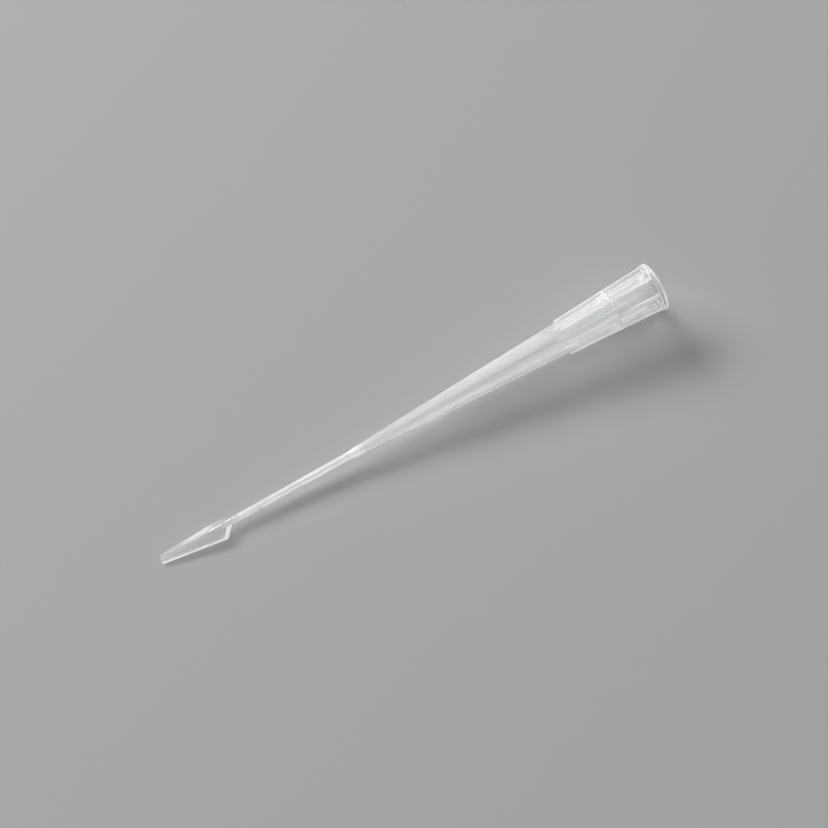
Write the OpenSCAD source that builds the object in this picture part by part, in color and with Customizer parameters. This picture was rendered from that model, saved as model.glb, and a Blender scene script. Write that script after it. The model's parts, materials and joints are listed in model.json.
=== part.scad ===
// Flat-ended gel-loading pipette tip, moulded in one piece.
// Lengths are in millimetres. The tip is drawn standing on its blade, with its axis
// along +Z, and is then laid on its side so that it rests on z = 0.

/* [Overall] */
// Length of the whole tip, blade end to rim
tip_length = 83; // [70:0.5:100]

/* [Blade] */
// Length of the blade, end to widest point
blade_length = 9.9; // [6:0.1:14]
// Thickness of the blade at its end
blade_thickness = 0.4; // [0.3:0.02:0.6]
// Thickness of the blade at its widest point
shoulder_thickness = 0.52; // [0.4:0.02:0.7]
// Half width of the end on its near side
end_near = 0.66; // [0.5:0.02:1]
// Half width of the end on its far side
end_far = 0.62; // [0.5:0.02:1]
// Distance from the axis to the near shoulder
shoulder_near = 2.12; // [1.2:0.02:3]
// Distance from the axis to the far shoulder
shoulder_far = 1.02; // [0.9:0.02:3]
// Length over which the shoulders close in to the tube
shoulder_run = 1.4; // [0.8:0.1:3]
// How far the near corner of the end runs past the far one
end_skew = 0.35; // [0:0.05:0.8]
// Radius on the blade's long edges
blade_edge = 0.12; // [0.05:0.01:0.14]
// Width of the wall on each side of the flat channel
blade_wall = 0.3; // [0.2:0.02:0.4]
// Thickness of the skin above and below the flat channel
blade_skin = 0.11; // [0.08:0.01:0.13]
// Radius of the channel's corner inside the near shoulder
channel_corner = 0.8; // [0.3:0.05:1]
// Length of solid wall between the channel and the slope of the shoulders
shoulder_wall = 0.6; // [0.3:0.05:1]
// Length of the round ridge that fades out on the blade
ridge_length = 6.8; // [3:0.1:8]

/* [Tube] */
// Length of the thin tube
tube_length = 19.8; // [12:0.1:30]
// Bore of the tube at the blade
tube_bore = 0.5; // [0.4:0.02:0.7]
// Wall of the tube
tube_wall = 0.25; // [0.18:0.01:0.35]
// Draft of the tube, on each side, in degrees
tube_draft = 0.34; // [0.1:0.02:0.8]
// Length of the step from the tube to the cone
neck_run = 1.3; // [0.6:0.1:3]
// Wall of the cone where it leaves the tube
neck_wall = 0.43; // [0.3:0.01:0.6]

/* [Socket] */
// Bore of the round land that seals on the pipette
socket_bore = 4.9; // [4:0.05:6]
// Length of the sealing land
land_length = 3; // [2:0.1:4]
// Wall at the foot of the sealing land
socket_wall = 0.335; // [0.28:0.005:0.6]
// Depth of the socket, rim to the foot of the sealing land
socket_depth = 8.8; // [7:0.1:12]
// Width of the sloping seat below the sealing land
seat_step = 0.2; // [0.1:0.01:0.35]
// Length of the sloping seat
seat_run = 0.5; // [0.2:0.05:1]
// Lead-in taper above the land, on each side, in degrees
lead_in = 3; // [2:0.1:4]
// Depth of the wide mouth, rim to its bevel
mouth_depth = 1.5; // [1:0.1:2]
// Length of the bevel at the foot of the wide mouth
mouth_bevel = 0.7; // [0.3:0.1:1]
// Width of that bevel, by which the wall is thinner around the mouth
mouth_step = 0.16; // [0.05:0.01:0.2]
// Chamfer inside the rim
mouth_chamfer = 0.25; // [0.1:0.01:0.35]

/* [Collar] */
// Distance from the rim to the lower ends of the ribs
collar_length = 16.4; // [12:0.1:20]
// Number of ribs around the collar
rib_count = 7; // [4:1:10]
// Turn of the first rib from the thickness of the blade, in degrees
rib_phase = 22; // [0:1:90]
// Thickness of each rib
rib_thickness = 0.5; // [0.3:0.02:0.8]
// Height of the ribs above the wall at their lower ends
rib_height_low = 0.35; // [0.2:0.01:0.6]
// Height of the ribs above the wall at the lip
rib_height_high = 0.48; // [0.2:0.01:0.7]
// Length of the ramp at the lower end of each rib
rib_ramp = 0.35; // [0.1:0.05:1]
// Distance from the rim to the middle of the ring that ties the ribs
ring_drop = 7.8; // [5:0.1:10]
// Width of that ring
ring_width = 0.34; // [0.2:0.02:0.6]
// Height of the lip around the rim
lip_height = 0.8; // [0.5:0.05:1.5]
// How far the lip stands proud of the ribs
lip_proud = 0.13; // [0.05:0.01:0.3]
// Chamfer on the lip's edges
lip_edge = 0.12; // [0.05:0.01:0.2]

/* [Hidden] */
$fn = 96;
edge_sides = 24;      // sides of the small discs that round the blade's edges
pad_sides = 32;       // sides of the pad that rounds the channel's corner
slice = 0.02;         // thickness of the discs that a loft runs between
overlap = 0.3;        // how far a shape runs into the one that it joins
clear = 0.5;          // how far a cut runs past the surface that it opens

// Stations along the axis, from the blade end up
tube_start = blade_length + shoulder_run;
neck_start = tube_start + tube_length;
cone_start = neck_start + neck_run;
seat = tip_length - socket_depth;
seat_foot = seat - seat_run;
land_top = seat + land_length;
mouth_foot = tip_length - mouth_depth;
bevel_foot = mouth_foot - mouth_bevel;
chamfer_foot = tip_length - mouth_chamfer;
collar_start = tip_length - collar_length;
lip_foot = tip_length - lip_height;
ring_middle = tip_length - ring_drop;
ridge_start = tube_start - ridge_length;

// Bores, as radii
bore_low = tube_bore / 2;
bore_high = bore_low + (cone_start - tube_start) * tan(tube_draft);
land_radius = socket_bore / 2;
bevel_low = land_radius + (bevel_foot - land_top) * tan(lead_in);
bevel_high = bevel_low + mouth_step;
lead_radius = bevel_high + (chamfer_foot - mouth_foot) * tan(lead_in);
mouth_radius = lead_radius + mouth_chamfer;
seat_radius = land_radius - seat_step;

// Outsides, as radii
tube_low = bore_low + tube_wall;
tube_high = tube_low + tube_length * tan(tube_draft);
cone_low = bore_high + neck_wall;
cone_slope = (land_radius + socket_wall - cone_low) / (seat - cone_start);
lip_radius = rib_radius(lip_foot) + lip_proud;

// The flat channel
channel_end = blade_thickness - 2 * blade_skin;
channel_shoulder = shoulder_thickness - 2 * blade_skin;
channel_end_near = end_near - blade_wall;
channel_end_far = end_far - blade_wall;
channel_top = tube_start - shoulder_wall;
pad_height = blade_length - channel_corner;
pad_side = near_edge(pad_height) - channel_corner - blade_wall;

// The rest pose: the tip lies on the lip's lower edge and on the end of the blade
lip_contact = lip_foot + lip_edge;
rest_tilt = atan((lip_radius - blade_thickness / 2) / lip_contact);
rest_lift = blade_thickness / 2 * cos(rest_tilt);
low_x = -(blade_thickness / 2 - blade_edge) * sin(rest_tilt);
high_x = tip_length * cos(rest_tilt) + (lip_radius - lip_edge) * sin(rest_tilt);

// Radius of the cone's outside at a height on the axis
function wall_radius(height) = cone_low + (height - cone_start) * cone_slope;

// Radius over the ribs at a height on the axis
function rib_radius(height) = wall_radius(height) + rib_height_low
    + (rib_height_high - rib_height_low) * (height - collar_start) / (lip_foot - collar_start);

// Half width of the blade on its near side at a height on the axis
function near_edge(height) = end_near + (shoulder_near - end_near) * height / blade_length;

// Four small discs at the corners of a flat section, for a loft to run between
module flat_section(height, near, far, thickness, edge) {
    for (side = [edge - near, far - edge], face = [edge - thickness / 2, thickness / 2 - edge])
        translate([face, side, height])
            cylinder(h = slice, r = edge, $fn = edge_sides);
}

// The blade: a flat spade, wider on its near side, that closes in to the tube
module blade_outside() {
    hull() {
        flat_section(0, end_near, end_far, blade_thickness, blade_edge);
        flat_section(blade_length, shoulder_near, shoulder_far, shoulder_thickness, blade_edge);
    }
    hull() {
        flat_section(blade_length, shoulder_near, shoulder_far, shoulder_thickness, blade_edge);
        translate([0, 0, tube_start])
            cylinder(h = overlap, r = tube_low * 0.96, $fn = pad_sides);
    }
}

// The flat channel: an open slot at the end, round at its near corner, and as wide as
// the tube's bore where it meets the tube
module blade_channel() {
    hull() {
        flat_section(-clear, channel_end_near, channel_end_far, channel_end, channel_end / 3);
        translate([0, -pad_side, pad_height])
            rotate([0, 90, 0])
                cylinder(h = channel_shoulder, r = channel_corner, center = true, $fn = pad_sides);
        flat_section(channel_top, bore_low, bore_low, channel_shoulder, channel_shoulder / 3);
    }
}

// The sloping cut across the blade's end
module end_cut() {
    translate([0, -end_near, 0])
        rotate([atan(end_skew / (end_near + end_far)), 0, 0])
            translate([-clear, -clear, -2 * clear])
                cube([2 * clear, end_near + end_far + 4 * clear, 2 * clear]);
}

// The ridge, tube, cone, ring and lip, as one turned outside
module turned_outside() {
    ring_low = ring_middle - ring_width / 2;
    ring_high = ring_middle + ring_width / 2;
    ring_bevel = ring_width / 4;
    rotate_extrude()
        polygon([
            [0, ridge_start], [blade_skin, ridge_start], [tube_low, tube_start],
            [tube_high, neck_start], [cone_low, cone_start],
            [wall_radius(ring_low), ring_low],
            [rib_radius(ring_low), ring_low + ring_bevel],
            [rib_radius(ring_high), ring_high - ring_bevel],
            [wall_radius(ring_high), ring_high],
            [wall_radius(lip_foot), lip_foot],
            [lip_radius - lip_edge, lip_foot], [lip_radius, lip_contact],
            [lip_radius, tip_length - lip_edge], [lip_radius - lip_edge, tip_length],
            [0, tip_length]
        ]);
}

// The bore of the tube, the liquid cone, the seat, the sealing land, the lead-in and the
// wide mouth above its bevel
module turned_inside() {
    rotate_extrude()
        polygon([
            [0, ridge_start], [channel_end / 2, ridge_start], [bore_low, tube_start],
            [bore_high, cone_start], [seat_radius, seat_foot], [land_radius, seat],
            [land_radius, land_top], [bevel_low, bevel_foot], [bevel_high, mouth_foot],
            [lead_radius, chamfer_foot],
            [mouth_radius, tip_length], [mouth_radius, tip_length + clear],
            [0, tip_length + clear]
        ]);
}

// One rib, standing on the cone's wall, with a ramp at its lower end
module rib() {
    root = socket_wall / 2;
    top = lip_foot + lip_edge;
    rotate([90, 0, 0])
        linear_extrude(height = rib_thickness, center = true)
            polygon([
                [wall_radius(collar_start) - root, collar_start],
                [wall_radius(collar_start), collar_start],
                [rib_radius(collar_start + rib_ramp), collar_start + rib_ramp],
                [rib_radius(top), top],
                [wall_radius(top) - root, top]
            ]);
}

// The whole tip, standing on its blade
module tip_upright() {
    difference() {
        union() {
            turned_outside();
            blade_outside();
            for (turn = [0 : rib_count - 1])
                rotate([0, 0, rib_phase + turn * 360 / rib_count])
                    rib();
        }
        turned_inside();
        blade_channel();
        end_cut();
    }
}

// The tip, laid on its side with its blade flat
module pipette_tip() {
    color([0.86, 0.88, 0.89, 0.6])
        translate([-(low_x + high_x) / 2, 0, rest_lift])
            rotate([0, 90 - rest_tilt, 0])
                tip_upright();
}

pipette_tip();
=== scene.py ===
import json
from math import cos, pi, radians, sin

import bmesh
import bpy
from mathutils import Matrix, Vector


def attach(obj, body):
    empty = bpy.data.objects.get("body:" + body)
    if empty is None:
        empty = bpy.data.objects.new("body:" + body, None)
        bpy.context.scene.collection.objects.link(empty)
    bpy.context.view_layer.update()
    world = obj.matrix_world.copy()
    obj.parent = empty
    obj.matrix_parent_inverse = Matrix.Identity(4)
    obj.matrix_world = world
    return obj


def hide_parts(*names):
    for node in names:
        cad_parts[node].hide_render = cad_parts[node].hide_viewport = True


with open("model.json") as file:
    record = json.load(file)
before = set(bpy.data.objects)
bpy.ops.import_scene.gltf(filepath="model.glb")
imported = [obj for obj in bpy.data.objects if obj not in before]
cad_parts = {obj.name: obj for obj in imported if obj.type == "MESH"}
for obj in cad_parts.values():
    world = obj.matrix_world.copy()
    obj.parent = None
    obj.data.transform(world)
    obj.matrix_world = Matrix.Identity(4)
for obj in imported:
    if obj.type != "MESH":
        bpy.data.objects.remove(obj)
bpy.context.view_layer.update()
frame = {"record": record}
scene = bpy.context.scene
print("frame loaded")

# The camera looks steeply down on the tip, turned a little from square.
cameraSet = {
    "heading": 30.47,      # degrees that the view is turned from +Y towards +X
    "dip": 65.0,           # degrees that the view looks down
    "distance": 0.4152,    # metres from the lens to the aim
    "aimHeight": 0.0019,   # metres, close to the tip's axis at half its length
    "lens": 124.8,
    "shiftX": 0.0017,
    "shiftY": 0.0082,
    "nearest": 0.01,
    "farthest": 20.0,
}


def placeCamera(size):
    turn, dip = radians(size["heading"]), radians(size["dip"])
    view = Vector((sin(turn) * cos(dip), cos(turn) * cos(dip), -sin(dip)))
    data = bpy.data.cameras.new("camera")
    data.lens = size["lens"]
    data.shift_x, data.shift_y = size["shiftX"], size["shiftY"]
    data.clip_start, data.clip_end = size["nearest"], size["farthest"]
    camera = bpy.data.objects.new("camera", data)
    camera.location = Vector((0, 0, size["aimHeight"])) - view * size["distance"]
    camera.rotation_euler = view.to_track_quat("-Z", "Y").to_euler()
    scene.collection.objects.link(camera)
    scene.camera = camera


placeCamera(cameraSet)
print("camera placed")


# A Field is a value inside a node tree, so that a sum of fields is written as a sum.
class Field:
    def __init__(self, tree, socket):
        self.tree, self.socket = tree, socket

    def do(self, operation, *others):
        return nodeSum(self.tree, operation, self, *others)

    def __add__(self, other):
        return nodeSum(self.tree, "ADD", self, other)

    def __sub__(self, other):
        return nodeSum(self.tree, "SUBTRACT", self, other)

    def __mul__(self, other):
        return nodeSum(self.tree, "MULTIPLY", self, other)

    def __truediv__(self, other):
        return nodeSum(self.tree, "DIVIDE", self, other)

    def __radd__(self, other):
        return nodeSum(self.tree, "ADD", other, self)

    def __rsub__(self, other):
        return nodeSum(self.tree, "SUBTRACT", other, self)

    def __rtruediv__(self, other):
        return nodeSum(self.tree, "DIVIDE", other, self)


# Small helpers for building node trees.
def feed(tree, socket, value):
    if isinstance(value, Field):
        tree.links.new(value.socket, socket)
    elif value is not None:
        socket.default_value = value


def addNode(tree, kind, inputs=None, **settings):
    node = tree.nodes.new(kind)
    for name, value in settings.items():
        setattr(node, name, value)
    for name, value in (inputs or {}).items():
        feed(tree, node.inputs[name], value)
    return node


def addField(tree, kind, inputs=None, output=0, **settings):
    return Field(tree, addNode(tree, kind, inputs, **settings).outputs[output])


def nodeSum(tree, operation, *values):
    return addField(tree, "ShaderNodeMath", dict(enumerate(values)), operation=operation)


def remap(value, fromLow, fromHigh, toLow, toHigh, kind="LINEAR"):
    given = dict(enumerate((value, fromLow, fromHigh, toLow, toHigh)))
    return addField(value.tree, "ShaderNodeMapRange", given, interpolation_type=kind)


# The tip is lofted through stations along its axis, in millimetres from the blade's end.
# Each station is a flat section with a round core, so that one rule makes the blade, the
# tube, the cone and the socket, outside and inside.
bladeSize = {
    "length": 9.9,
    "tubeStart": 11.3,
    "endNear": 0.66,
    "endFar": 0.62,
    "shoulderNear": 2.12,
    "shoulderFar": 1.02,
    "endHalf": 0.2,
    "shoulderHalf": 0.26,
    "edge": 0.12,
    "endRound": 0.05,
    "nearRound": 0.7,      # how softly each shoulder turns
    "farRound": 0.2,
    "skew": 0.35,          # how far the near corner of the end runs past the far one
    "skewFade": 4.0,       # where the slope of the end has died out
    "ridgeStart": 4.5,
    "ridgeRadius": 0.11,
    "ridgeBlend": 0.1,     # the fillet between the flat and the ridge
    "ridgeFade": 10.4,     # where that fillet starts to run out into the tube
    "flatShare": 0.92,     # of the tube's radius, at which the flat ends inside it
}
channelSize = {
    "top": 10.7,
    "wall": 0.3,           # beside the channel
    "slope": 1.18,         # how fast the channel closes in under the shoulder
    "cornerRound": 1.0,
    "halfEnd": 0.09,
    "halfShoulder": 0.15,
    "edge": 0.06,
    "mouthRound": 0.03,
    "boreBlend": 0.04,     # the fillets between the channel and the bore
    "faceBlend": 0.03,
    "fadeLow": 10.0,
    "fadeHigh": 11.0,
}
tubeSize = {
    "neckStart": 31.1,
    "coneStart": 32.4,
    "radiusLow": 0.5,
    "radiusHigh": 0.6175,
    "boreLow": 0.25,
    "boreHigh": 0.3752,
    "neckRadius": 0.8052,
}
socketSize = {
    "length": 83.0,
    "seatFoot": 73.7,
    "seat": 74.2,
    "landTop": 77.2,
    "bevelFoot": 80.8,
    "mouthFoot": 81.5,
    "chamferFoot": 82.75,
    "seatStep": 0.2,
    "wall": 0.335,
    "bevelLow": 2.6387,
    "bevelHigh": 2.7987,
    "leadRadius": 2.8642,
    "mouthRadius": 3.1142,
}
collarSize = {
    "foot": 66.6,
    "lipFoot": 82.2,
    "ribCount": 7,
    "ribTurn": 22.0,       # degrees from the thickness of the blade
    "ribThickness": 0.5,
    "ribHeightLow": 0.35,
    "ribHeightHigh": 0.48,
    "ribRamp": 0.35,
    "ribFlank": 0.07,
    "ringLow": 75.03,
    "ringHigh": 75.37,
    "ringBevel": 0.085,
    "lipProud": 0.13,
    "lipEdge": 0.12,
}
meshSize = {
    "columnsPerRib": 28,
    "gatherLow": 40.0,     # between these the columns gather at the flanks of the ribs
    "gatherHigh": 64.0,
    "gatherBends": (       # from the middle of a rib to halfway to the next one
        (0.143, 0.09), (0.286, 0.143), (0.43, 0.178),
        (0.57, 0.235), (0.714, 0.36), (0.857, 0.64)),
    "gatherRadius": 3.2,   # at which those bends fit the ribs' thickness
    "leastRadius": 0.5,
    "weld": 0.0002,
}
socketMount = next(m for m in frame["record"]["mounts"] if m["name"] == "socket")
landRadius = socketMount["dims"]["r_mm"]


def smoothLeast(a, b, blend):
    share = max(blend - abs(a - b), 0) / blend
    return min(a, b) - share ** 3 * blend / 6


def smoothMost(a, b, blend):
    return -smoothLeast(-a, -b, blend)


def mix(a, b, share):
    return a + (b - a) * share


def ease(value, low, high):
    t = min(max((value - low) / (high - low), 0), 1)
    return t * t * (3 - 2 * t)


def wallRadius(height):
    t, s = tubeSize, socketSize
    slope = (landRadius + s["wall"] - t["neckRadius"]) / (s["seat"] - t["coneStart"])
    return t["neckRadius"] + (height - t["coneStart"]) * slope


def ribRadius(height):
    c = collarSize
    share = (height - c["foot"]) / (c["lipFoot"] - c["foot"])
    return wallRadius(height) + mix(c["ribHeightLow"], c["ribHeightHigh"], share)


# The round core grows from the blade's faces, or from the channel's, to the tube's radius.
def coreRadius(height, low, high):
    b = bladeSize
    if height <= b["ridgeStart"]:
        return 0.0
    return mix(low, high, (height - b["ridgeStart"]) / (b["tubeStart"] - b["ridgeStart"]))


def bladeOutside(height, shrink=0.0):
    b = bladeSize
    along = height / b["length"]
    past = (height - b["length"]) / (b["tubeStart"] - b["length"])
    closing = min(max(past, 0), 1)
    core = coreRadius(height, b["ridgeRadius"], tubeSize["radiusLow"])
    flatCore = tubeSize["radiusLow"] * b["flatShare"]

    def side(end, shoulder, turn):
        rising, falling = mix(end, shoulder, along), mix(shoulder, flatCore, past)
        return smoothMost(smoothLeast(rising, falling, turn), core, b["ridgeBlend"]) - shrink

    half = mix(mix(b["endHalf"], b["shoulderHalf"], min(along, 1)), flatCore, closing)
    return {
        "height": height,
        "core": core,
        "near": side(b["endNear"], b["shoulderNear"], b["nearRound"]),
        "far": side(b["endFar"], b["shoulderFar"], b["farRound"]),
        "half": half - shrink,
        "edge": mix(b["edge"], flatCore, closing),
        "blend": b["ridgeBlend"] * (1 - ease(height, b["ridgeFade"], b["tubeStart"])),
    }


def bladeInside(height, grow=0.0):
    b, k = bladeSize, channelSize
    core = coreRadius(height, k["halfEnd"], tubeSize["boreLow"])
    along = height / b["length"]
    edge = mix(b["endNear"], b["shoulderNear"], along) - k["wall"]
    slope = tubeSize["boreLow"] + k["slope"] * (k["top"] - height)
    near = smoothLeast(edge, slope, k["cornerRound"])
    far = mix(b["endFar"] - k["wall"], tubeSize["boreLow"], min(height / k["top"], 1))
    return {
        "height": height,
        "core": core,
        "near": smoothMost(near, core, k["boreBlend"]) + grow,
        "far": max(far, core) + grow,
        "half": mix(k["halfEnd"], k["halfShoulder"], min(along, 1)) + grow,
        "edge": k["edge"],
        "blend": k["faceBlend"] * (1 - ease(height, k["fadeLow"], k["fadeHigh"])),
    }


def turned(radius, height):
    section = dict.fromkeys(("core", "near", "far", "half", "edge"), radius)
    return {"height": height, "blend": 0.0, **section}


# A turned outline: corners of (radius, height, rounding), with each corner rounded off and
# each long straight cut into shorter lengths.
def roundedOutline(corners, longest=1.6, steps=5):
    points = []
    for i, (radius, height, rounding) in enumerate(corners):
        here = Vector((radius, height))
        if not rounding or i in (0, len(corners) - 1):
            points.append(here)
            continue
        before = Vector(corners[i - 1][:2]) - here
        after = Vector(corners[i + 1][:2]) - here
        reach = min(rounding, before.length * 0.45, after.length * 0.45)
        first, last = here + before.normalized() * reach, here + after.normalized() * reach
        for step in range(steps + 1):
            t = step / steps
            points.append(first * (1 - t) ** 2 + here * 2 * t * (1 - t) + last * t * t)
    outline = [points[0]]
    for point in points[1:]:
        start = outline[-1]
        cuts = max(1, round((point - start).length / longest + 0.3))
        outline += [start.lerp(point, (cut + 1) / cuts) for cut in range(cuts)]
    return outline


# How milky each stretch of the moulding is, as a share of the finish's own milkiness.
milkSize = {
    "bladeEnd": 3.0,
    "blade": 0.2,
    "bladeWall": 4.2,      # added beside the channel
    "wallFrom": -0.04,     # from the channel's edge, where that starts
    "wallTo": 0.2,         # and where it is whole
    "farLeast": 0.3,       # of it, left on the far wall outside the stretch of painted highlight below
    # a painted highlight: between these heights the far wall of the blade turns fully milky,
    # standing in for the whitish highlight that the light makes on the blade's far side
    "farRise": (3.0, 6.0),
    "farFall": (7.8, 9.2),
    "channel": 0.1,
    "tube": 1.4,
    "neck": 2.0,
    "neckRise": (30.5, 31.5),
    "neckFall": (32.2, 33.2),
    "cone": 0.9,
    "coneRise": (31.1, 36.4),
    "collar": 0.75,
    "collarRise": (60.6, 66.6),
    "ring": 6.0,
    "mouth": 0.4,
    "mouthRise": (80.4, 80.8),
    "lip": 4.5,
    "lipFoot": 82.58,      # where the lip turns white
    "rib": 3.2,            # added on the ribs
    "ribRise": 4.0,        # per millimetre of a rib's height, until it is whole
}


def milkAt(height, inside):
    m, c = milkSize, collarSize
    milk = mix(m["tube"], m["cone"], ease(height, *m["coneRise"]))
    atNeck = ease(height, *m["neckRise"]) * (1 - ease(height, *m["neckFall"]))
    milk += (m["neck"] - m["tube"]) * atNeck
    milk = mix(milk, m["collar"], ease(height, *m["collarRise"]))
    milk = mix(milk, m["mouth"], ease(height, *m["mouthRise"]))
    if not inside and c["ringLow"] - 0.01 < height < c["ringHigh"] + 0.01:
        milk = m["ring"]
    if height > (socketSize["chamferFoot"] if inside else m["lipFoot"]) + 0.01:
        milk = m["lip"]
    return milk


# The tube, the cone, the ring and the lip up to the rim, and back down through the socket
def turnedOutline():
    b, t, s, c, m = bladeSize, tubeSize, socketSize, collarSize, milkSize
    foot, bevel, edge = c["foot"], c["ringBevel"], c["lipEdge"]
    lipRadius = ribRadius(c["lipFoot"]) + c["lipProud"]
    clearFoot = m["mouthRise"][0]
    clearShare = (clearFoot - s["landTop"]) / (s["bevelFoot"] - s["landTop"])
    outline = roundedOutline([
        (t["radiusLow"], b["tubeStart"], 0),
        (t["radiusHigh"], t["neckStart"], 0.4),
        (t["neckRadius"], t["coneStart"], 0.4),
        (wallRadius(foot - 0.3), foot - 0.3, 0),
    ])
    for rise in (-0.1, 0, 0.04, 0.1, 0.16, 0.22, 0.28, 0.33, 0.38, 0.5):
        outline.append(Vector((wallRadius(foot + rise), foot + rise)))
    return outline + roundedOutline([
        (wallRadius(foot + 0.8), foot + 0.8, 0),
        (wallRadius(c["ringLow"]), c["ringLow"], 0.06),
        (ribRadius(c["ringLow"]), c["ringLow"] + bevel, 0.07),
        (ribRadius(c["ringHigh"]), c["ringHigh"] - bevel, 0.07),
        (wallRadius(c["ringHigh"]), c["ringHigh"], 0.06),
        (wallRadius(clearFoot), clearFoot, 0),
        (wallRadius(s["bevelFoot"]), s["bevelFoot"], 0),
        (wallRadius(c["lipFoot"]), c["lipFoot"], 0.08),
        (lipRadius - edge * 0.6, c["lipFoot"], 0.1),
        (lipRadius, c["lipFoot"] + edge, 0.1),
        (lipRadius, m["lipFoot"], 0),
        (lipRadius, m["lipFoot"] + 0.05, 0),
        (lipRadius, s["length"] - edge, 0.12),
        (lipRadius - edge, s["length"], 0.12),
        (s["mouthRadius"], s["length"], 0.08),
        (s["leadRadius"], s["chamferFoot"], 0.1),
        (s["bevelHigh"], s["mouthFoot"], 0.1),
        (s["bevelLow"], s["bevelFoot"], 0.1),
        (mix(landRadius, s["bevelLow"], clearShare), clearFoot, 0),
        (landRadius, s["landTop"], 0.3),
        (landRadius, s["seat"], 0.06),
        (landRadius - s["seatStep"], s["seatFoot"], 0.06),
        (t["boreHigh"], t["coneStart"], 0.5),
        (t["boreLow"], b["tubeStart"], 0),
    ])


def stationRows():
    b, s, c, k, m = bladeSize, socketSize, collarSize, channelSize, milkSize
    noOpening = 99.0       # a half width that nothing reaches, where there is no channel
    rows = []

    def add(row, milk, wall=0.0, openNear=noOpening, openFar=noOpening):
        height = row["height"]
        # where the far wall of the blade carries its painted highlight
        inHighlight = ease(height, *m["farRise"]) * (1 - ease(height, *m["farFall"]))
        row.update(milk=milk, wall=wall, openNear=openNear, openFar=openFar)
        row["skew"] = 1 - ease(height, 0.0, b["skewFade"])
        row["gather"] = ease(height, meshSize["gatherLow"], meshSize["gatherHigh"])
        row["farMilk"] = mix(m["farLeast"], 1.0, inHighlight)
        rows.append(row)

    # the rounded edge of the blade's end, then the blade, closely through its shoulders
    for turn in (0, 30, 60, 90):
        slack = b["endRound"] * (1 - sin(radians(turn)))
        start = b["endRound"] * (1 - cos(radians(turn)))
        add(bladeOutside(start, slack), m["bladeEnd"])
    heights = [0.12, 0.25, 0.5, 0.9, 1.4, 2.0, 2.7, 3.4, 4.0, 4.4]
    heights += [4.8, 5.3, 5.8, 6.3, 6.8, 7.3, 7.8, 8.2, 8.6]
    heights += [8.8 + 0.06 * step for step in range(41)]
    for height in heights:
        row, opening = bladeOutside(height), bladeInside(min(height, k["top"]))
        openNear, openFar = (max(opening[side], row["core"]) for side in ("near", "far"))
        add(row, m["blade"], 0.0, openNear, openFar)
    # all that is turned, with the ribs' wall noted where ribs stand on it
    inside = False
    for radius, height in turnedOutline()[1:-1]:
        atRim = height > s["length"] - 1e-6
        inside = inside or (atRim and radius < s["mouthRadius"] + 0.2)
        ribbed = c["foot"] - 0.2 <= height <= c["lipFoot"] + c["lipEdge"] and not inside
        wall = wallRadius(height) if ribbed else 0.0
        add(turned(radius, height), milkAt(height, inside), wall)
    # the channel, down to its rounded mouth in the blade's end
    for height in reversed(heights[:-1]):
        add(bladeInside(height), m["channel"])
    for turn in (90, 45, 0):
        slack = k["mouthRound"] * (1 - sin(radians(turn)))
        start = k["mouthRound"] * (1 - cos(radians(turn)))
        add(bladeInside(start, slack), m["bladeEnd"])
    return rows


# What the node tree takes: each input's kind, and its value where it is a size
tipInputs = {
    "Stations": ("Geometry", None),
    "Finish": ("Material", None),
    "Columns": ("Int", meshSize["columnsPerRib"] * collarSize["ribCount"]),
    "Rib Count": ("Int", collarSize["ribCount"]),
    "Rib Turn": ("Float", collarSize["ribTurn"]),
    "Rib Thickness": ("Float", collarSize["ribThickness"]),
    "Rib Height Low": ("Float", collarSize["ribHeightLow"]),
    "Rib Height High": ("Float", collarSize["ribHeightHigh"]),
    "Rib Foot": ("Float", collarSize["foot"]),
    "Rib Top": ("Float", collarSize["lipFoot"]),
    "Rib Ramp": ("Float", collarSize["ribRamp"]),
    "Rib Flank": ("Float", collarSize["ribFlank"]),
    "Rib Milk": ("Float", milkSize["rib"]),
    "Rib Milk Rise": ("Float", milkSize["ribRise"]),
    "End Skew": ("Float", bladeSize["skew"]),
    "End Near": ("Float", bladeSize["endNear"]),
    "End Far": ("Float", bladeSize["endFar"]),
    "Blade Milk": ("Float", milkSize["bladeWall"]),
    "Blade Milk From": ("Float", milkSize["wallFrom"]),
    "Blade Milk To": ("Float", milkSize["wallTo"]),
    "Gather Radius": ("Float", meshSize["gatherRadius"]),
    "Least Radius": ("Float", meshSize["leastRadius"]),
    "Weld": ("Float", meshSize["weld"]),
}


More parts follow.
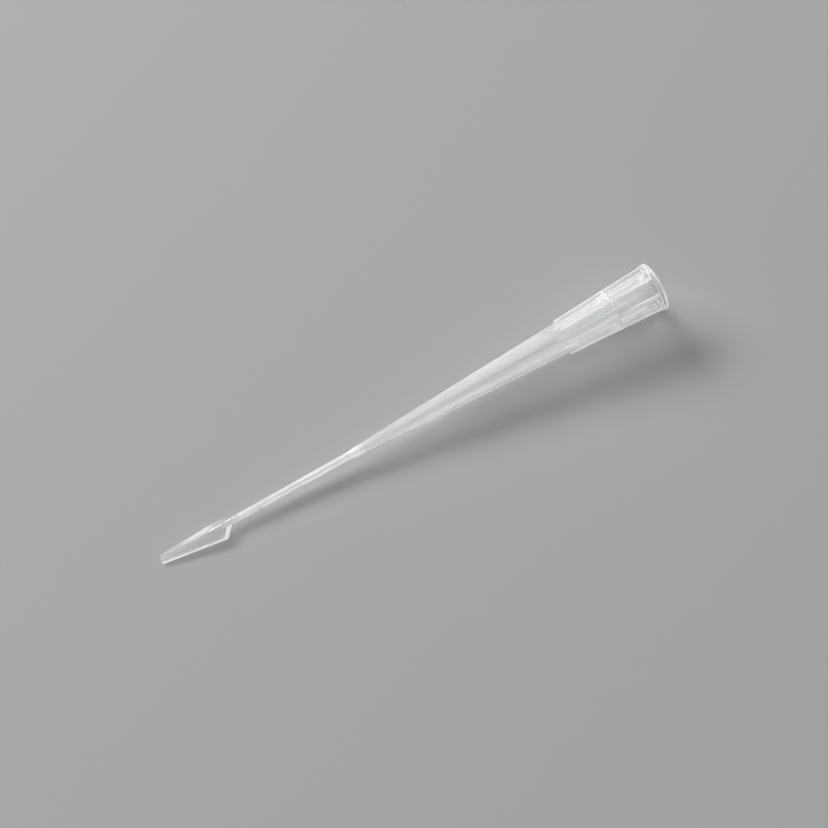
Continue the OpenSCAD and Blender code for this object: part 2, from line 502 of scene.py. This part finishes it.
def tipFormTree():
    tree = bpy.data.node_groups.new("tipForm", "GeometryNodeTree")
    face = tree.interface
    face.new_socket("Form", in_out="OUTPUT", socket_type="NodeSocketGeometry")
    for name, (kind, size) in tipInputs.items():
        face.new_socket(name, in_out="INPUT", socket_type="NodeSocket" + kind)
    entry = tree.nodes.new("NodeGroupInput")

    def given(name):
        return Field(tree, entry.outputs[name])

    # a sheet of columns by stations, whose first and last rows and columns meet
    columns = given("Columns")
    counted = {"Geometry": given("Stations")}
    stations = addField(tree, "GeometryNodeAttributeDomainSize", counted)
    sheet = addField(tree, "GeometryNodeMeshGrid", {
        "Size X": 1.0, "Size Y": 1.0, "Vertices X": columns + 1, "Vertices Y": stations + 1})
    where = addField(tree, "GeometryNodeInputPosition")
    spot = addNode(tree, "ShaderNodeSeparateXYZ", {0: where})
    across, along = Field(tree, spot.outputs[0]), Field(tree, spot.outputs[1])
    column = ((across + 0.5) * columns).do("ROUND").do("MODULO", columns)
    ring = ((along + 0.5) * stations).do("ROUND").do("MODULO", stations)

    def station(name):
        kind = {"data_type": "FLOAT"}
        noted = addField(tree, "GeometryNodeInputNamedAttribute", {"Name": name}, **kind)
        inputs = {"Geometry": given("Stations"), "Value": noted, "Index": ring}
        return addField(tree, "GeometryNodeSampleIndex", inputs, domain="POINT", **kind)

    # the angle of each column: even on the blade, gathered at the ribs' flanks on the collar
    even = (column + 0.5) / columns * (2 * pi)
    turn = given("Rib Turn").do("RADIANS")
    pitch = 2 * pi / given("Rib Count")
    firstColumn = (turn / (2 * pi) * columns - 0.5).do("ROUND")
    ribPlace = (column - firstColumn) * given("Rib Count") / columns
    ribNumber = ribPlace.do("ROUND")
    offset = ribPlace - ribNumber
    warp = addNode(tree, "ShaderNodeFloatCurve", {"Value": offset.do("ABSOLUTE") * 2})
    bends = meshSize["gatherBends"]
    points = warp.mapping.curves[0].points
    for x, y in bends:
        points.new(x, y)
    for point, place in zip(points, ((0, 0), *bends, (1, 1))):
        point.location = place
    warp.mapping.update()
    aside = Field(tree, warp.outputs[0])
    core = station("core")
    share = aside.do("POWER", 2)
    radius = core.do("MAXIMUM", given("Least Radius"))
    narrowed = given("Gather Radius") / radius * (1 - share) + share
    ribAngle = turn + pitch * ribNumber
    gatheredAngle = ribAngle + offset.do("SIGN") * aside * (narrowed * (pitch / 2))
    gather = station("gather")
    angle = even * (1 - gather) + gatheredAngle * gather

    # the section: a flat with rounded edges, joined to a round core
    swing = angle.do("SINE")
    isFar = swing.do("GREATER_THAN", 0)
    near, far = station("near"), station("far")
    reach = near + (far - near) * isFar
    width = swing * reach
    edge = station("edge")
    left = edge - (reach - width.do("ABSOLUTE")).do("MINIMUM", edge)
    drop = edge - (edge * edge - left * left).do("MAXIMUM", 0).do("SQRT")
    flat = station("half") - drop
    circle = (core * core - width * width).do("MAXIMUM", 0).do("SQRT")
    thick = flat.do("SMOOTH_MAX", circle, station("blend")) * angle.do("COSINE").do("SIGN")

    # the slope of the blade's end
    height = station("height")
    endNear, endFar = given("End Near"), given("End Far")
    slope = given("End Skew") * (width + endNear) / (endNear + endFar)
    lifted = height + slope * station("skew")

    # the ribs stand on the wall of the collar, with a ramp at the foot and upright flanks
    wall, foot = station("wall"), given("Rib Foot")
    low, high = given("Rib Height Low"), given("Rib Height High")
    ribHeight = remap(height, foot, given("Rib Top"), low, high)
    ramp = remap(height, foot, foot + given("Rib Ramp"), 0.0, 1.0, "SMOOTHSTEP")
    sideways = core * (angle - ribAngle).do("ABSOLUTE").do("SINE")
    halfRib, halfFlank = given("Rib Thickness") / 2, given("Rib Flank") / 2
    flank = remap(sideways, halfRib - halfFlank, halfRib + halfFlank, 1.0, 0.0, "SMOOTHSTEP")
    onCollar = wall.do("GREATER_THAN", 0.1)
    raised = (wall + ribHeight * ramp - core).do("MAXIMUM", 0) * (flank * onCollar)
    place = addField(tree, "ShaderNodeCombineXYZ", {
        0: thick + raised * ribAngle.do("COSINE"),
        1: width + raised * ribAngle.do("SINE"),
        2: lifted})

    # how milky each point is, noted while the sheet is still flat, because the fields read
    # its places
    onRib = (raised * given("Rib Milk Rise")).do("MINIMUM", 1)
    openNear = station("openNear")
    beside = width.do("ABSOLUTE") - (openNear + (station("openFar") - openNear) * isFar)
    start, end = given("Blade Milk From"), given("Blade Milk To")
    onWall = remap(beside, start, end, 0.0, 1.0, "SMOOTHSTEP")
    # the far wall's milk is lowered, except along the stretch where it is raised as a painted
    # highlight
    wallMilkAndHighlight = 1.0 + isFar * (station("farMilk") - 1.0)
    milk = station("milk") + onRib * given("Rib Milk") + onWall * wallMilkAndHighlight * given("Blade Milk")
    noted = addField(tree, "GeometryNodeStoreNamedAttribute", {
        "Geometry": sheet, "Name": "milk", "Value": milk}, data_type="FLOAT", domain="POINT")
    formed = addField(tree, "GeometryNodeSetPosition", {"Geometry": noted, "Position": place})
    joined = addField(tree, "GeometryNodeMergeByDistance", {
        "Geometry": formed, "Distance": given("Weld")})
    smooth = addField(tree, "GeometryNodeSetShadeSmooth", {"Geometry": joined})
    whole = addField(tree, "GeometryNodeRealizeInstances", {"Geometry": smooth})
    finished = addField(tree, "GeometryNodeSetMaterial", {
        "Geometry": whole, "Material": given("Finish")})
    addNode(tree, "NodeGroupOutput", {0: finished})
    return tree


# Clear polypropylene: water-white where it is thin, faintly milky in the mass, with the soft
# sheen of a polished mould.
plasticFinish = {
    "tint": (0.97, 0.975, 0.98, 1),
    "refraction": 1.49,
    "roughLow": 0.05,
    "roughHigh": 0.09,
    "milk": (0.93, 0.94, 0.945, 1),
    "milkRough": 0.6,
    "milkShare": 0.2,
    "milkPatchy": 0.15,    # how much that share wanders to each side
    "milkMost": 0.85,
    "throughLow": 0.35,    # how much light passes through the milky share of a wall
    "throughHigh": 0.6,    # and of a rib, the rim or the blade's edge
    "glowFrom": 2.8,       # milkiness from which more light passes
    "glowTo": 4.5,
    "solidFrom": 4.8,      # and from which less passes again, in the ring
    "solidTo": 5.8,
    "solidShare": 0.2,
    "cloudScale": 160.0,
    "grainScale": 900.0,
    "grainDepth": 0.0002,
    "grainStrength": 0.03,
    "shadowTint": (0.64, 0.64, 0.64, 1),
}


def polypropylene(look):
    material = bpy.data.materials.new("polypropylene")
    material.use_nodes = True
    tree = material.node_tree
    tree.nodes.clear()
    place = addField(tree, "ShaderNodeTexCoord", output="Object")
    grain = addField(tree, "ShaderNodeTexNoise", {
        "Vector": place, "Scale": look["grainScale"], "Detail": 3.0}, "Fac")
    clouds = addField(tree, "ShaderNodeTexNoise", {
        "Vector": place, "Scale": look["cloudScale"], "Detail": 2.0}, "Fac")
    bump = addField(tree, "ShaderNodeBump", {
        "Strength": look["grainStrength"], "Distance": look["grainDepth"], "Height": grain})
    clear = addField(tree, "ShaderNodeBsdfPrincipled", {
        "Base Color": look["tint"], "IOR": look["refraction"],
        "Roughness": remap(clouds, 0.3, 0.7, look["roughLow"], look["roughHigh"]),
        "Transmission Weight": 1.0, "Normal": bump})
    white = addField(tree, "ShaderNodeBsdfDiffuse", {
        "Color": look["milk"], "Roughness": look["milkRough"]})
    through = addField(tree, "ShaderNodeBsdfTranslucent", {"Color": look["milk"]})
    amount = addField(tree, "ShaderNodeAttribute", output="Fac", attribute_name="milk")
    low, high = look["throughLow"], look["throughHigh"]
    passing = remap(amount, look["glowFrom"], look["glowTo"], low, high)
    solid = remap(amount, look["solidFrom"], look["solidTo"], 0.0, look["solidShare"])
    milk = addField(tree, "ShaderNodeMixShader", {0: passing - solid, 1: white, 2: through})
    least, most = 1 - look["milkPatchy"], 1 + look["milkPatchy"]
    patchy = remap(clouds, 0.3, 0.7, look["milkShare"] * least, look["milkShare"] * most)
    share = (patchy * amount).do("MINIMUM", look["milkMost"])
    body = addField(tree, "ShaderNodeMixShader", {0: share, 1: clear, 2: milk})
    # a shadow is cast as through thin plastic, and not as a solid's
    shade = addField(tree, "ShaderNodeBsdfTransparent", {"Color": look["shadowTint"]})
    isShadow = addField(tree, "ShaderNodeLightPath", output="Is Shadow Ray")
    final = addField(tree, "ShaderNodeMixShader", {0: isShadow, 1: body, 2: shade})
    addNode(tree, "ShaderNodeOutputMaterial", {"Surface": final})
    return material


def makeTip():
    rows = stationRows()
    lines = bpy.data.meshes.new("tipStations")
    lines.from_pydata([(row["core"], 0, row["height"]) for row in rows], [], [])
    for name in rows[0]:
        values = lines.attributes.new(name, "FLOAT", "POINT")
        values.data.foreach_set("value", [row[name] for row in rows])
    maker = bpy.data.objects.new("tipMaker", lines)
    scene.collection.objects.link(maker)
    tree = tipFormTree()
    values = {name: size for name, (kind, size) in tipInputs.items() if size is not None}
    values["Finish"] = polypropylene(plasticFinish)
    loft = maker.modifiers.new("tipForm", "NODES")
    loft.node_group = tree
    for socket in tree.interface.items_tree:
        if socket.in_out == "INPUT" and socket.name in values:
            loft[socket.identifier] = values[socket.name]
    ready = maker.evaluated_get(bpy.context.evaluated_depsgraph_get())
    form = bpy.data.meshes.new_from_object(ready)
    maker.modifiers.remove(loft)
    bpy.data.objects.remove(maker)
    return form


# The mesh is drawn upright in millimetres, and laid where the record's socket mount says.
def layDown(form):
    axis = Vector(socketMount["axis"]).normalized()
    middle = (socketSize["seat"] + socketSize["landTop"]) / 2
    foot = Vector(socketMount["pos_m"]) - axis * middle * 0.001
    side = Vector((0, 1, 0))
    down = side.cross(axis)
    turn = Matrix((down, side, axis)).transposed().to_4x4()
    form.transform(Matrix.Translation(foot) @ turn @ Matrix.Scale(0.001, 4))
    work = bmesh.new()
    work.from_mesh(form)
    bmesh.ops.recalc_face_normals(work, faces=work.faces)
    work.to_mesh(form)
    work.free()


form = makeTip()
layDown(form)
form.name = "pipetteTip"
tip = bpy.data.objects.new("pipetteTip", form)
scene.collection.objects.link(tip)
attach(tip, "root")
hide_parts("pipette_tip")
print("tip made:", len(form.vertices), "points,", len(form.polygons), "faces")


# A plain pale floor and soft studio light.
studio = {
    "floor": (0.38, 0.38, 0.38, 1),
    "floorHalf": 3.0,
    "floorRough": 0.85,
    "floorGloss": 0.1,
    "worldTop": 0.3,
    "worldSide": 0.12,
    "worldRise": 0.9,      # the height on the sky at which it reaches its full light
    "keyShare": 0.72,      # how much of the floor's own colour this lamp alone brings out
    "keyPlace": (-0.50, 1.45, 0.70),
    "keySize": (1.12, 0.40),
    "topShare": 0.1,
    "topPlace": (-0.15, 0.1, 0.6),
    "topSize": (0.4, 0.4),
}


def makeFloor(look):
    half = look["floorHalf"]
    sheet = bpy.data.meshes.new("floor")
    corners = [(-half, -half, 0), (half, -half, 0), (half, half, 0), (-half, half, 0)]
    sheet.from_pydata(corners, [], [(0, 1, 2, 3)])
    material = bpy.data.materials.new("paleFloor")
    material.use_nodes = True
    shader = material.node_tree.nodes["Principled BSDF"]
    shader.inputs["Base Color"].default_value = look["floor"]
    shader.inputs["Roughness"].default_value = look["floorRough"]
    shader.inputs["Specular IOR Level"].default_value = look["floorGloss"]
    sheet.materials.append(material)
    floor = bpy.data.objects.new("floor", sheet)
    scene.collection.objects.link(floor)


def softLamp(look, name):
    spot = Vector(look[name + "Place"])
    lamp = bpy.data.lights.new(name + "Lamp", "AREA")
    lamp.shape = "RECTANGLE"
    lamp.size, lamp.size_y = look[name + "Size"]
    lamp.energy = look[name + "Share"] * pi ** 2 * spot.length_squared / spot.normalized().z
    holder = bpy.data.objects.new(name + "Lamp", lamp)
    holder.location = spot
    holder.rotation_euler = (-spot).to_track_quat("-Z", "Y").to_euler()
    scene.collection.objects.link(holder)


def softWorld(look):
    world = bpy.data.worlds.new("studio")
    world.use_nodes = True
    tree = world.node_tree
    tree.nodes.clear()
    way = addField(tree, "ShaderNodeTexCoord", output="Generated")
    up = addField(tree, "ShaderNodeSeparateXYZ", {0: way}, 2)
    side, top = look["worldSide"], look["worldTop"]
    glow = remap(up, 0.0, look["worldRise"], side, top, "SMOOTHSTEP")
    sky = addField(tree, "ShaderNodeBackground", {"Color": (1, 1, 1, 1), "Strength": glow})
    addNode(tree, "ShaderNodeOutputWorld", {"Surface": sky})
    scene.world = world


makeFloor(studio)
softLamp(studio, "key")
softLamp(studio, "top")
softWorld(studio)
scene.view_settings.view_transform = "Standard"
scene.cycles.max_bounces = 32
scene.cycles.transmission_bounces = 24
scene.cycles.glossy_bounces = 8
scene.cycles.transparent_max_bounces = 24
print("studio lit")
